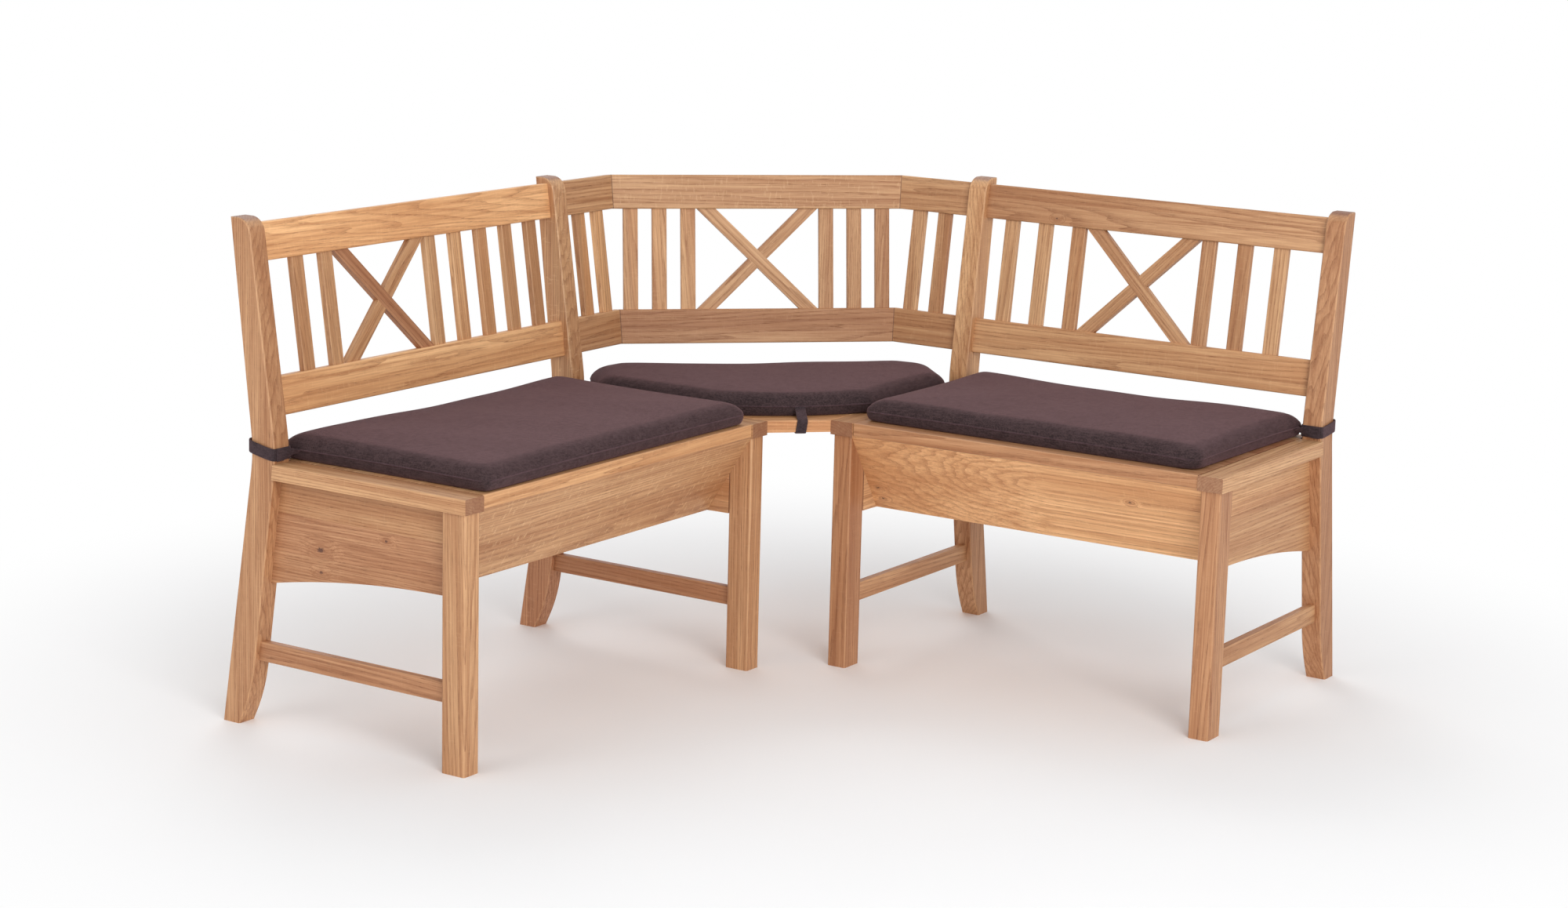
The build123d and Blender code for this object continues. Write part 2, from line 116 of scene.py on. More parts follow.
class Finish:
    """Adds nodes to a shader tree. What is given to an input is a socket to link or a value to set."""

    def __init__(self, tree):
        self.tree = tree

    def node(self, kind, inputs=(), **settings):
        made = self.tree.nodes.new("ShaderNode" + kind)
        for key, value in settings.items():
            setattr(made, key, value)
        for key, value in dict(inputs).items():
            if isinstance(value, bpy.types.NodeSocket):
                self.tree.links.new(value, made.inputs[key])
            else:
                made.inputs[key].default_value = value
        return made

    def math(self, operation, first, second=0.0, third=0.0):
        return self.node("Math", {0: first, 1: second, 2: third}, operation=operation).outputs[0]

    def vector(self, operation, first, second=(0, 0, 0)):
        made = self.node("VectorMath", {0: first, 1: second}, operation=operation)
        return made.outputs["Value" if operation in ("LENGTH", "DOT_PRODUCT") else "Vector"]

    def noise(self, vector, scale=1.0, detail=2.0, roughness=0.5):
        inputs = {"Vector": vector, "Scale": scale, "Detail": detail, "Roughness": roughness}
        return self.node("TexNoise", inputs)

    def ramp(self, value, low, high, start=0.0, end=1.0):
        """Smooth step of a value from start to end between two limits."""
        inputs = {"Value": value, "From Min": low, "From Max": high, "To Min": start, "To Max": end}
        return self.node("MapRange", inputs, interpolation_type="SMOOTHSTEP").outputs[0]

    def mix(self, share, first, second):
        return self.node("Mix", {0: share, 6: first, 7: second}, data_type="RGBA").outputs[2]

    def tint(self, share, first, second):
        """Colour multiplied by another one, by a share."""
        made = self.node("Mix", {0: share, 6: first, 7: second}, data_type="RGBA", blend_type="MULTIPLY")
        return made.outputs[2]

    def blend_vectors(self, share, first, second):
        made = self.node("Mix", {0: share, 4: first, 5: second}, data_type="VECTOR")
        return made.outputs[1]


def new_group(name, inputs, outputs):
    """Empty shader group with named inputs and outputs, and its Finish."""
    group = bpy.data.node_groups.new(name, "ShaderNodeTree")
    for label, kind in inputs:
        group.interface.new_socket(label, in_out="INPUT", socket_type="NodeSocket" + kind)
    for label, kind in outputs:
        group.interface.new_socket(label, in_out="OUTPUT", socket_type="NodeSocket" + kind)
    return group, Finish(group)


def oak_figure():
    """Figure of sawn oak from grain coordinates in metres: x along the grain, y across, z through.

    Growth rings are shells round a warped line along x. Each ring starts with a dark porous band that
    fades outwards. Long streaks and lines, fine fibres, short pores and ray flecks lie over the rings.
    Rings is the number of rings in a metre and Wander how far they waver. Tone turns the wood dark and red
    below zero and pale above it, Fleck is the share of the ray flecks, End darkens end grain, and Edge
    lightens
    chamfers and round edges: partly rubbed wood and partly a painted highlight along the edges.
    """
    inputs = [(label, "Float") for label in ("Rings", "Wander", "Tone", "Fleck", "End", "Edge")]
    inputs.insert(0, ("Grain", "Vector"))
    outputs = [("Color", "Color"), ("Roughness", "Float"), ("Height", "Float")]
    group, f = new_group("oak_figure", inputs, outputs)
    given = group.nodes.new("NodeGroupInput").outputs
    grain = given["Grain"]
    drawn_out = f.vector("MULTIPLY", grain, (0.09, 1, 1))
    sway = f.vector("SUBTRACT", f.noise(drawn_out, 7, 1.5).outputs["Color"], (0.5, 0.5, 0.5))
    wander = f.vector("SUBTRACT", f.noise(drawn_out, 38, 2).outputs["Color"], (0.5, 0.5, 0.5))
    warped = f.vector("ADD", grain, f.vector("MULTIPLY", sway, (0, 0.05, 0.05)))
    waver = f.node("CombineXYZ", {1: given["Wander"], 2: given["Wander"]}).outputs[0]
    warped = f.vector("ADD", warped, f.vector("MULTIPLY", wander, waver))
    radius = f.vector("LENGTH", f.vector("MULTIPLY", warped, (0, 1, 1)))
    uneven = f.noise(f.vector("MULTIPLY", warped, (0, 1, 1)), 46, 1).outputs["Fac"]
    ring = f.math("ADD", f.math("MULTIPLY", radius, given["Rings"]), f.math("MULTIPLY", uneven, 2.0))
    early = f.ramp(f.math("FRACT", ring), 0.0, 0.55, 1.0, 0.0)
    streak = f.noise(f.vector("MULTIPLY", grain, (1.2, 88, 88)), 1, 3, 0.55).outputs["Fac"]
    line = f.noise(f.vector("MULTIPLY", grain, (2.2, 185, 185)), 1, 2, 0.55).outputs["Fac"]
    fibre = f.noise(f.vector("MULTIPLY", grain, (11, 420, 420)), 1, 2, 0.6).outputs["Fac"]
    dashes = f.noise(f.vector("MULTIPLY", grain, (48, 1250, 1250)), 1, 1, 0.5).outputs["Fac"]
    pore = f.math("MULTIPLY", f.ramp(dashes, 0.55, 0.68), f.math("MULTIPLY_ADD", early, 0.75, 0.2))
    broad = f.noise(drawn_out, 11, 2).outputs["Fac"]
    ray = f.noise(f.vector("MULTIPLY", grain, (240, 58, 58)), 1, 2, 0.6).outputs["Fac"]
    fleck = f.math("MULTIPLY", f.ramp(ray, 0.58, 0.68), given["Fleck"])

    wood = f.mix(f.ramp(broad, 0.3, 0.7), colour(187, 136, 94), colour(218, 172, 127))
    wood = f.mix(f.ramp(streak, 0.42, 0.72, 0.0, 0.46), wood, colour(166, 110, 69))
    wood = f.mix(f.ramp(streak, 0.2, 0.45, 0.4, 0.0), wood, colour(236, 193, 144))
    wood = f.mix(f.ramp(line, 0.5, 0.72, 0.0, 0.5), wood, colour(156, 102, 64))
    wood = f.mix(f.math("MULTIPLY", early, 0.42), wood, colour(150, 97, 61))
    wood = f.mix(f.ramp(fibre, 0.35, 0.75, 0.0, 0.34), wood, colour(148, 98, 63))
    wood = f.mix(f.math("MULTIPLY", pore, 0.6), wood, colour(108, 68, 44))
    wood = f.mix(f.math("MULTIPLY", fleck, 0.6), wood, colour(238, 201, 156))
    wood = f.tint(f.ramp(given["Tone"], 0.0, -1.0), wood, (0.74, 0.6, 0.58, 1))
    wood = f.tint(f.ramp(given["Tone"], 0.0, 1.0), wood, (1.5, 1.52, 1.45, 1))
    wood = f.mix(f.math("MULTIPLY", given["End"], 0.6), wood, colour(116, 72, 57))
    # chamfers and round edges lighter: partly rubbed wood, partly a painted highlight along the edges
    wood = f.mix(f.math("MULTIPLY", given["Edge"], 0.16), wood, colour(230, 190, 146))

    rough = f.ramp(fibre, 0.2, 0.8, 0.42, 0.56)
    rough = f.math("ADD", rough, f.math("MULTIPLY", pore, 0.2))
    rough = f.math("SUBTRACT", rough, f.math("MULTIPLY", given["Edge"], 0.08))
    height = f.math("SUBTRACT", f.math("MULTIPLY", fibre, 0.35), f.math("MULTIPLY", pore, 0.7))
    height = f.math("SUBTRACT", height, f.math("MULTIPLY", early, 0.3))
    result = group.nodes.new("NodeGroupOutput").inputs
    for name, value in (("Color", wood), ("Roughness", rough), ("Height", height)):
        group.links.new(value, result[name])
    return group


def grain_axes(along, through):
    """Directions along the grain, across it and through the face."""
    along = along.normalized()
    across = through.cross(along).normalized()
    return Matrix((along, across, along.cross(across)))


def grain_coordinates(f, middle, turn):
    """Object coordinates turned so that x runs along the grain and z through the face, from a middle."""
    inputs = {
        "Vector": f.node("TexCoord").outputs["Object"],
        "Location": -(turn @ middle),
        "Rotation": turn.to_euler(),
    }
    return f.node("Mapping", inputs).outputs[0]


def end_and_edge(f, turn):
    """How far the face looks along the grain, and one on chamfers and round edges.

    An edge is where the face looks along none of the three grain directions.
    """
    normal = f.node("TexCoord").outputs["Normal"]
    sides = [f.math("ABSOLUTE", f.vector("DOT_PRODUCT", normal, tuple(axis))) for axis in turn]
    flat = f.math("MAXIMUM", f.math("MAXIMUM", sides[0], sides[1]), sides[2])
    return sides[0], f.ramp(flat, 0.93, 0.8)


def knot_distance(f, grain, along_at, across_at, stretch):
    """Distance from a knot across the face, drawn out along the grain."""
    away = f.vector("SUBTRACT", grain, (along_at, across_at, 0))
    return f.vector("LENGTH", f.vector("MULTIPLY", away, (stretch, 1, 0)))


def new_material(name):
    """Empty material, its Finish and its surface shader."""
    material = bpy.data.materials.new(name)
    material.use_nodes = True
    material.node_tree.nodes.clear()
    f = Finish(material.node_tree)
    shader = f.node("BsdfPrincipled")
    f.node("OutputMaterial", {"Surface": shader.outputs[0]})
    return material, f, shader


WALL_CORNER = Vector((BENCHES["left"].origin[0], BENCHES["right"].origin[1], 0))
MITRE_TURN = math.radians(22.5)
# Where each mitre meets the front of the back, from the two walls
MITRE_PLACE = (484.8 * MM, 112 * MM)
# Growth rings in a metre and how far they waver, on plain pieces and where the cut shows nested arches
PLAIN_RINGS = (190.0, 9 * MM)
ARCHED_RINGS = (105.0, 1.5 * MM)


def mitre_lines(f):
    """One in the last millimetre before the two upright planes that mitre the corner's back rails."""
    place = f.vector("SUBTRACT", f.node("TexCoord").outputs["Object"], tuple(WALL_CORNER))
    far, near = math.cos(MITRE_TURN), math.sin(MITRE_TURN)
    reach = MITRE_PLACE[0] * far - MITRE_PLACE[1] * near
    right = f.vector("DOT_PRODUCT", place, (far, near, 0))
    left = f.vector("DOT_PRODUCT", place, (-near, -far, 0))
    return f.ramp(f.math("MAXIMUM", right, left), reach - 1.7 * MM, reach - 0.5 * MM)


def oak(name, coordinates, turn, tone, fleck, draw, staves=None, knots=(), arch=None, mitred=False):
    """Oiled oak of one piece. All places are in metres from the piece's middle.

    coordinates is a function that adds the grain coordinates, and turn holds the grain's directions, where
    there is one set of them. tone is a number or a function that adds it.
    staves gives width, shift and spread: each strip of that width across the grain is cut from another
    place in the tree and has its own tone, by up to half that spread.
    knots are triples of place along, place across and radius.
    arch gives two places along, between which the cut leaves the tree's middle, by how much it leaves it,
    and the middle's place across and through: there the rings show as nested arches.
    A mitred rail has a dark line where it meets its neighbours.
    """
    material, f, shader = new_material(name)
    grain = coordinates(f)
    place = grain
    tone_value = tone(f) if callable(tone) else tone
    along, across, _ = f.node("SeparateXYZ", {0: grain}).outputs
    if staves:
        width, shift, spread = staves
        strip = f.math("ADD", f.math("MULTIPLY", across, 1 / width), shift)
        number = f.math("ADD", f.math("FLOOR", strip), draw.uniform(0, 50))
        chance = f.node("TexWhiteNoise", {"W": number}, noise_dimensions="1D").outputs["Color"]
        place = f.vector("ADD", grain, f.vector("MULTIPLY", chance, (3.0, 0.5, 0.09)))
        change = f.math("SUBTRACT", f.node("SeparateColor", {0: chance}).outputs[0], 0.5)
        tone_value = f.math("ADD", f.math("MULTIPLY", change, spread), tone_value)
        side = f.math("ABSOLUTE", f.math("SUBTRACT", f.math("FRACT", strip), 0.5))
        seam = f.ramp(side, 0.5 - 0.5 * MM / width, 0.5)
    for along_at, across_at, radius in knots:
        bulge = f.ramp(knot_distance(f, grain, along_at, across_at, 0.5), 0.0, radius * 6, 0.018, 0.0)
        place = f.vector("ADD", place, f.node("CombineXYZ", {2: bulge}).outputs[0])
    cut = (draw.uniform(-4, 4), draw.choice((-1, 1)) * draw.uniform(0.02, 0.07), draw.uniform(0.03, 0.11))
    turned = (0, draw.uniform(-0.03, 0.03), draw.uniform(-0.02, 0.02))
    if arch:
        first, last, rise, axis, depth = arch
        leave = f.ramp(along, first, last, rise, 0.0)
        place = f.vector("ADD", place, f.node("CombineXYZ", {2: leave}).outputs[0])
        cut, turned = (cut[0], -axis, depth), (0, 0, 0)
    slope = f.node("Mapping", {"Vector": place, "Location": cut, "Rotation": turned})
    figure = f.node("Group", node_tree=bpy.data.node_groups["oak_figure"])
    given = {"Grain": slope.outputs[0], "Tone": tone_value, "Fleck": fleck, "End": 0.0, "Edge": 0.0}
    given["Rings"], given["Wander"] = ARCHED_RINGS if arch else PLAIN_RINGS
    if turn:
        facing, given["Edge"] = end_and_edge(f, turn)
        given["End"] = f.ramp(facing, 0.7, 0.95)
    for label, value in given.items():
        if isinstance(value, bpy.types.NodeSocket):
            f.tree.links.new(value, figure.inputs[label])
        else:
            figure.inputs[label].default_value = value
    wood = figure.outputs["Color"]
    if staves:
        wood = f.mix(f.math("MULTIPLY", seam, 0.4), wood, colour(118, 74, 48))
    if mitred:
        wood = f.mix(f.math("MULTIPLY", mitre_lines(f), 0.8), wood, colour(84, 50, 32))
    if knots:
        ragged = f.math("SUBTRACT", f.noise(grain, 330, 2).outputs["Fac"], 0.5)
    for along_at, across_at, radius in knots:
        away = knot_distance(f, grain, along_at, across_at, 0.65)
        away = f.math("MULTIPLY_ADD", ragged, 2.2 * radius, away)
        wood = f.mix(f.ramp(away, radius, radius * 4, 0.35, 0.0), wood, colour(160, 106, 72))
        wood = f.mix(f.ramp(away, radius * 0.4, radius * 1.3, 0.85, 0.0), wood, colour(84, 52, 44))
    bump = f.node("Bump", {"Strength": 0.5, "Distance": 0.35 * MM, "Height": figure.outputs["Height"]})
    f.tree.links.new(wood, shader.inputs["Base Color"])
    f.tree.links.new(figure.outputs["Roughness"], shader.inputs["Roughness"])
    f.tree.links.new(bump.outputs[0], shader.inputs["Normal"])
    shader.inputs["Specular IOR Level"].default_value = 0.35
    return material


def cloth(name, dark, light, thread):
    """Woven cloth: two crossed sets of threads, thicker here and there, with lint, nap and mottling."""
    material, f, shader = new_material(name)
    place = f.node("TexCoord").outputs["Object"]
    scale = 2 * math.pi / (20 * thread)
    turned = f.node("Mapping", {"Vector": place, "Rotation": (0.35, 0.3, 0.2)}).outputs[0]
    weft = f.node("TexWave", {"Vector": turned, "Scale": scale, "Distortion": 1.2, "Detail": 1},
                  bands_direction="X").outputs["Fac"]
    warp = f.node("TexWave", {"Vector": turned, "Scale": scale, "Distortion": 1.2, "Detail": 1},
                  bands_direction="Y").outputs["Fac"]
    lint = f.noise(place, 700, 3, 0.7).outputs["Fac"]
    mottle = f.noise(place, 26, 3, 0.6).outputs["Fac"]
    nap = f.noise(place, 95, 2, 0.6).outputs["Fac"]
    slub_weft = f.noise(f.vector("MULTIPLY", place, (75, 400, 400)), 1, 2, 0.6).outputs["Fac"]
    slub_warp = f.noise(f.vector("MULTIPLY", place, (400, 75, 400)), 1, 2, 0.6).outputs["Fac"]
    slub = f.math("SUBTRACT", f.math("ADD", slub_weft, slub_warp), 1.0)
    weave = f.math("MAXIMUM", weft, warp)
    tone = f.math("ADD", f.math("MULTIPLY", weave, 0.3), f.math("MULTIPLY", lint, 0.5))
    tone = f.math("ADD", tone, f.math("MULTIPLY", mottle, 0.35))
    tone = f.math("MULTIPLY_ADD", f.math("SUBTRACT", nap, 0.5), 0.45, tone)
    tone = f.math("MULTIPLY_ADD", slub, 0.9, tone)
    f.tree.links.new(f.mix(f.ramp(tone, 0.3, 0.9), dark, light), shader.inputs["Base Color"])
    f.tree.links.new(f.ramp(lint, 0.2, 0.8, 0.82, 0.98), shader.inputs["Roughness"])
    height = f.math("ADD", weave, f.math("MULTIPLY", lint, 0.8))
    height = f.math("MULTIPLY_ADD", slub, 0.9, height)
    bump = f.node("Bump", {"Strength": 0.5, "Distance": 0.4 * MM, "Height": height})
    f.tree.links.new(bump.outputs[0], shader.inputs["Normal"])
    shader.inputs["Sheen Weight"].default_value = 0.38
    shader.inputs["Sheen Roughness"].default_value = 0.5
    shader.inputs["Sheen Tint"].default_value = colour(196, 148, 153)
    shader.inputs["Specular IOR Level"].default_value = 0.2
    return material


def hinge_steel():
    """Satin steel of the hinges, brushed along its length, with dull patches."""
    material, f, shader = new_material("hinge_steel_finish")
    place = f.node("TexCoord").outputs["Object"]
    brushed = f.noise(f.vector("MULTIPLY", place, (60, 60, 2600)), 1, 2).outputs["Fac"]
    dull = f.noise(place, 90, 3, 0.6).outputs["Fac"]
    tone = f.mix(f.ramp(dull, 0.35, 0.7), colour(176, 172, 166), colour(142, 138, 132))
    f.tree.links.new(tone, shader.inputs["Base Color"])
    f.tree.links.new(f.ramp(brushed, 0.2, 0.8, 0.26, 0.48), shader.inputs["Roughness"])
    bump = f.node("Bump", {"Strength": 0.3, "Distance": 0.05 * MM, "Height": brushed})
    f.tree.links.new(bump.outputs[0], shader.inputs["Normal"])
    shader.inputs["Metallic"].default_value = 1.0
    return material


def set_material(piece, material):
    piece.data.materials.clear()
    piece.data.materials.append(material)


def node_middle(name):
    low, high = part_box(name)
    return (low + high) / 2


# Oak on the boards, rails, slats and legs

DIAGONAL = Vector((1, 1, 0)).normalized()
CORNER_FORWARD = Vector((1, -1, 0)).normalized()
CORNER_BACK = (CORNER_FORWARD * math.cos(BACK_LEAN) + UP * math.sin(BACK_LEAN)).normalized()
CORNER_LEAN = (UP * math.cos(BACK_LEAN) - CORNER_FORWARD * math.sin(BACK_LEAN)).normalized()
# The chest front goes back by 94 mm on 148 mm of height
CHEST_SLOPE = math.atan2(94, 148)


def bench_grain(bench, piece):
    """Grain direction and face direction of a bench's piece."""
    chest_face = bench.forward * math.cos(CHEST_SLOPE) - UP * math.sin(CHEST_SLOPE)
    rules = (
        ("rear_post", UP, bench.forward),
        ("front_leg", UP, bench.forward),
        ("seat_rail", bench.forward, UP),
        ("end_panel", bench.forward, bench.along),
        ("stretchers", bench.forward, bench.along),
        ("back_rail", bench.along, bench.back),
        ("slats", bench.lean, bench.back),
        ("chest_front", bench.along, chest_face),
        ("chest_back", bench.along, bench.forward),
        ("chest_floor", bench.along, UP),
        ("hinge_rail", bench.along, UP),
        ("lid", bench.along, UP),
        ("cleat", bench.forward, UP),
        ("right_rail", bench.along, bench.back),
        ("left_rail", bench.along, bench.back),
    )
    for ending, along, through in rules:
        if piece.endswith(ending):
            return along, through
    return None


def corner_grain(piece):
    """Grain direction and face direction of the corner unit's piece."""
    if piece.endswith("centre_rail"):
        return DIAGONAL, CORNER_BACK
    if piece.endswith("seat_board"):
        return DIAGONAL, UP
    bench = BENCHES["left" if "left" in piece else "right"]
    if piece.endswith("slats"):
        return (bench.lean + CORNER_LEAN).normalized(), (bench.back + CORNER_BACK).normalized()
    return bench_grain(bench, piece)


# Strips of glued boards, and single slats and stretchers: width, shift in widths and spread of tone
STAVES = {
    "end_panel": (0.066, 0.5, 0.7),
    "lid": (0.079, 0.5, 0.7),
    "seat_board": (0.08, 0.5, 0.7),
    "chest_floor": (0.09, 0.0, 0.7),
    "chest_back": (0.09, 0.0, 0.7),
    "stretchers": (0.3, 0.5, 0.7),
    "corner_right_slats": (0.06, 0.0, 0.5),
    "corner_left_slats": (0.06, 0.0, 0.5),
    "slats": (0.072, 0.5, 0.5),
}
# Tone of single pieces, red below zero and pale above it; other pieces draw theirs within PLAIN_TONE
PLAIN_TONE = 0.22
TONES = {
    "corner_lower_centre_rail": -0.4,
    "corner_top_centre_rail": -0.1,
    "corner_right_slats": -0.1,
    "corner_seat_board": 0.42,
    "left_top_back_rail": 1.0,
    "left_lower_back_rail": 0.7,
    "left_lid": 0.3,
    "left_chest_front": 0.1,
    "left_outer_end_panel": -0.4,
    "left_outer_seat_rail": 0.2,
    "left_outer_rear_post": -0.45,
    "left_outer_front_leg": -0.3,
    "left_corner_front_leg": -0.3,
    "left_corner_rear_post": -0.25,
    "left_stretchers": -0.5,
    "right_top_back_rail": -0.35,
    "right_lower_back_rail": 0.36,
    "right_lid": -0.8,
    "right_chest_front": 0.6,
    "right_outer_end_panel": 0.05,
    "right_outer_seat_rail": 0.1,
    "right_outer_front_leg": -0.6,
    "right_outer_rear_post": -0.55,
    "right_corner_front_leg": -0.6,
    "right_corner_rear_post": 0.35,
}
# Posts whose foot is painted darker, as painted shade under the seat, and the heights between which they
# change
PAINTED_SHADE_TONES = {"left_corner_rear_post": -1.0, "right_corner_rear_post": -0.4}
PAINTED_SHADE_HEIGHTS = (0.25, 0.5)
PLAIN_FLECK = 0.1
FLECKS = {"left_chest_front": 0.6, "corner_top_centre_rail": 0.3, "left_corner_rear_post": 0.35}
KNOTS = {
    "left_outer_end_panel": [(-0.083, -0.018, 0.0048), (-0.082, -0.056, 0.0026), (0.06, 0.018, 0.0022)],
    "right_chest_front": [(-0.331, -0.032, 0.0028), (-0.327, -0.058, 0.0018), (0.203, 0.034, 0.0022)],
    "right_top_back_rail": [(-0.198, -0.02, 0.0018)],
}
ARCHES = {"right_chest_front": (-0.38, 0.06, 0.1, 0.045, 0.014)}


def by_ending(table, name, otherwise):
    """Entry of a table whose key ends the name."""
    found = [value for key, value in table.items() if name.endswith(key)]
    return found[0] if found else otherwise


def shaded_foot_tone(foot, above):
    """Tone of a post that goes from one value at its foot to another above the seat: the darker foot is
    painted shade under the seat.
    """
    def tone(f):
        height = f.node("SeparateXYZ", {0: f.node("TexCoord").outputs["Object"]}).outputs["Z"]
        return f.ramp(height, *PAINTED_SHADE_HEIGHTS, foot, above)

    return tone


def dress_oak():
    """Gives each wooden piece its own oak, cut from another place in the tree."""
    oak_figure()
    draw = np.random.default_rng(17)
    parts = frame["record"]["subparts"]
    wooden = [part["node"] for part in parts if part["material_slot"].startswith("oak")]
    for name in sorted(wooden):
        tone = by_ending(TONES, name, draw.uniform(-PLAIN_TONE, PLAIN_TONE))
        # the foot of these posts is painted darker, standing in for the shade under the seat
        if name in PAINTED_SHADE_TONES:
            tone = shaded_foot_tone(PAINTED_SHADE_TONES[name], tone)
        fleck = by_ending(FLECKS, name, PLAIN_FLECK)
        if name.endswith("back_cross"):
            dress_cross(name, fleck, draw)
            continue
        bench = BENCHES.get(name.split("_")[0])
        turn = grain_axes(*(bench_grain(bench, name) if bench else corner_grain(name)))
        middle = node_middle(name)
        material = oak(
            name + "_oak", lambda f: grain_coordinates(f, middle, turn), turn, tone, fleck, draw,
            by_ending(STAVES, name, None), KNOTS.get(name, ()), ARCHES.get(name),
            name.endswith("centre_rail"))
        set_material(frame["nodes"][name], material)


# Tones of the front and the rear bar, slopes of the bars, and half the width that the front bar takes up
CROSS_TONES = {"left": (-0.8, 0.0), "right": (-0.3, -0.1), "corner": (0.1, 0.1)}
CROSS_SLOPE = {
    "left": math.atan2(96.5, 99),
    "right": math.atan2(96.5, 99),
    "corner": math.atan2(96.5, 100),
}
HALF_BAR = 12.6 * MM


def dress_cross(name, fleck, draw):
    """Oak on two halved bars: each bar's grain follows it, and the front bar's runs on through the lap."""
    side = name.split("_")[0]
    bench = BENCHES.get(side)
    along, back, lean = DIAGONAL, CORNER_BACK, CORNER_LEAN
    if bench:
        along, back, lean = bench.along, bench.back, bench.lean
    slope = CROSS_SLOPE[side]
    falling = along * math.cos(slope) - lean * math.sin(slope)
    rising = along * math.cos(slope) + lean * math.sin(slope)
    front, rear = (rising, falling) if side == "left" else (falling, rising)
    front_tone, rear_tone = CROSS_TONES[side]
    middle = node_middle(name)

    def front_bar(f):
        ahead = grain_coordinates(f, middle, grain_axes(front, back))
        across = f.node("SeparateXYZ", {0: ahead}).outputs["Y"]
        return ahead, f.math("LESS_THAN", f.math("ABSOLUTE", across), HALF_BAR)

    def two_bars(f):
        ahead, on_front = front_bar(f)
        behind = grain_coordinates(f, middle, grain_axes(rear, back))
        return f.blend_vectors(on_front, f.vector("ADD", behind, (1.7, 0.03, 0.02)), ahead)

    def bar_tone(f):
        return f.math("MULTIPLY_ADD", front_bar(f)[1], front_tone - rear_tone, rear_tone)

    set_material(frame["nodes"][name], oak(name + "_oak", two_bars, None, bar_tone, fleck, draw))


# Meshes

def new_piece(name, points, faces, material):
    """Object from an array of points and a list of faces, smooth, in the room's frame."""
    mesh = bpy.data.meshes.new(name)
    mesh.from_pydata(points.reshape(-1, 3).tolist(), [], faces)
    form = bmesh.new()
    form.from_mesh(mesh)
    bmesh.ops.recalc_face_normals(form, faces=form.faces)
    form.to_mesh(mesh)
    form.free()
    mesh.polygons.foreach_set("use_smooth", np.ones(len(mesh.polygons), bool))
    mesh.update()
    piece = bpy.data.objects.new(name, mesh)
    bpy.context.scene.collection.objects.link(piece)
    set_material(piece, material)
    return piece


def grid_faces(rows, columns, wrap_rows=False, wrap_columns=False):
    """Four-sided faces of a grid of points, closed on itself along rows or columns where asked."""
    row = np.arange(rows if wrap_rows else rows - 1)[:, None]
    column = np.arange(columns if wrap_columns else columns - 1)[None, :]
    below = row * columns
    above = (row + 1) % rows * columns
    right = (column + 1) % columns
    corners = (below + column, below + right, above + right, above + column)
    return np.stack(np.broadcast_arrays(*corners), -1).reshape(-1, 4).tolist()


def circular_smooth(points, spread):
    """Smooths a closed run of evenly spaced points by a bell curve, given its spread in points."""
    count = len(points)
    steps = np.minimum(np.arange(count), count - np.arange(count))
    bell = np.exp(-0.5 * (steps / spread) ** 2)
    wave = np.fft.rfft(bell / bell.sum())[:, None]
    return np.fft.irfft(np.fft.rfft(points, axis=0) * wave, n=count, axis=0)


ARC_POINTS = 24


def soft_outline(corners, radii, bows, count):
    """Closed outline: sides bowed by a parabola, joined by corners that are parabolic arcs, evenly divided.

    A corner's arc is a quadratic curve from one side to the next whose middle control point is the corner.
    """
    corners = np.array(corners, float)
    back = np.roll(corners, 1, axis=0) - corners
    ahead = np.roll(corners, -1, axis=0) - corners
    reach = np.array(radii, float)[:, None]
    start = corners + back / np.linalg.norm(back, axis=1, keepdims=True) * reach
    end = corners + ahead / np.linalg.norm(ahead, axis=1, keepdims=True) * reach
    share = np.linspace(0, 1, ARC_POINTS)[None, :, None]
    rest = 1 - share
    arcs = rest ** 2 * start[:, None] + 2 * share * rest * corners[:, None] + share ** 2 * end[:, None]
    run = np.roll(start, -1, axis=0) - end
    outward = np.stack((run[:, 1], -run[:, 0]), -1) / np.linalg.norm(run, axis=1, keepdims=True)
    share = share[:, 1:-1]
    bow = (np.array(bows)[:, None] * outward)[:, None] * 4 * share * (1 - share)
    sides = end[:, None] + run[:, None] * share + bow
    return even_steps(np.concatenate((arcs, sides), axis=1).reshape(-1, 2), count)


def even_steps(points, count, closed=True):
    """Points at equal steps along a run of points, by linear interpolation over its length."""
    if closed:
        points = np.concatenate((points, points[:1]))
    length = np.concatenate(([0], np.cumsum(np.linalg.norm(np.diff(points, axis=0), axis=1))))
    steps = np.linspace(0, length[-1], count, endpoint=not closed)
    return np.stack([np.interp(steps, length, values) for values in points.T], -1)


# Cushions

SEAT_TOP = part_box("left_lid")[1].z
CUSHION_GAP = 0.3 * MM
CUSHION_THICK = 42 * MM
OUTLINE_POINTS = 640
SEAM_HEIGHT = 18.5 * MM
SEAM_RADIUS = 1.3 * MM
SEAM_POINTS = 8
# How far the cloth may swell, the grid and pressure it swells with, its steps, and the rounds of smoothing
SWELL = 4 * MM
SWELL_GRID = 5 * MM
SWELL_PRESSURE = 4
SWELL_STEPS = 12
SWELL_ROUNDS = 50


